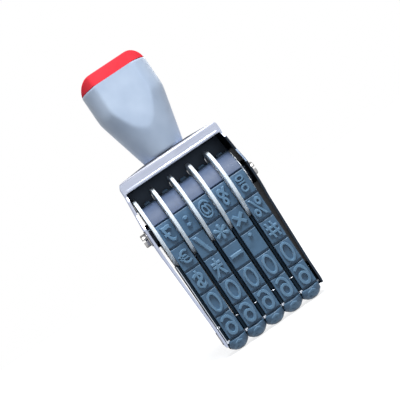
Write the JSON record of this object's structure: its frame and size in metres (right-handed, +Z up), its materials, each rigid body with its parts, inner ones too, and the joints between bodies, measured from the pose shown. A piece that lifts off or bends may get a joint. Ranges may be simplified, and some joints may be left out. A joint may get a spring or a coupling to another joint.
{
  "type": "hand numbering stamp",
  "caption": "Hand-held numbering stamp with endless rubber type bands on thumbwheels in a folded steel frame, under a flared grip with a coloured cap.",
  "frame": {"origin": "centre of the printing face at the foot, which the stamp stands on", "axes": "+X across the bands to the right as seen from the front, -Y the front, +Z up the axis of the handle"},
  "size_m": [0.0618, 0.038, 0.1392],
  "materials": {
    "plated_sheet": "nickel plated, lightly brushed",
    "plated_metal": "nickel plated",
    "blackened_steel": "blackened, with worn edges",
    "white_plastic": "smooth",
    "band_rubber": "satin",
    "grey_plastic": "satin",
    "red_plastic": "gloss"
  },
  "bodies": {
    "stamp": {"frame": "plated_sheet", "foot": "blackened_steel", "foot_rivets": "plated_metal", "axle": "plated_metal", "axle_screws": "plated_metal", "axle_washers": "plated_metal", "end_washers": "plated_metal", "band_1": "band_rubber", "band_2": "band_rubber", "band_3": "band_rubber", "band_4": "band_rubber", "band_5": "band_rubber", "handle": "grey_plastic", "handle_cap": "red_plastic", "handle_screw": "plated_metal", "handle_washer": "plated_metal"},
    "wheel_1": {"thumbwheel_1": "white_plastic"},
    "wheel_2": {"thumbwheel_2": "white_plastic"},
    "wheel_3": {"thumbwheel_3": "white_plastic"},
    "wheel_4": {"thumbwheel_4": "white_plastic"},
    "wheel_5": {"thumbwheel_5": "white_plastic"}
  },
  "joints": [
    {"name": "thumbwheel_1_spin", "type": "hinge", "parent": "stamp", "child": "wheel_1", "pos_m": [-0.02, 0, 0.0635], "axis": [1, 0, 0], "continuous": true},
    {"name": "thumbwheel_2_spin", "type": "hinge", "parent": "stamp", "child": "wheel_2", "pos_m": [-0.01, 0, 0.0635], "axis": [1, 0, 0], "continuous": true},
    {"name": "thumbwheel_3_spin", "type": "hinge", "parent": "stamp", "child": "wheel_3", "pos_m": [0, 0, 0.0635], "axis": [1, 0, 0], "continuous": true},
    {"name": "thumbwheel_4_spin", "type": "hinge", "parent": "stamp", "child": "wheel_4", "pos_m": [0.01, 0, 0.0635], "axis": [1, 0, 0], "continuous": true},
    {"name": "thumbwheel_5_spin", "type": "hinge", "parent": "stamp", "child": "wheel_5", "pos_m": [0.02, 0, 0.0635], "axis": [1, 0, 0], "continuous": true}
  ]
}
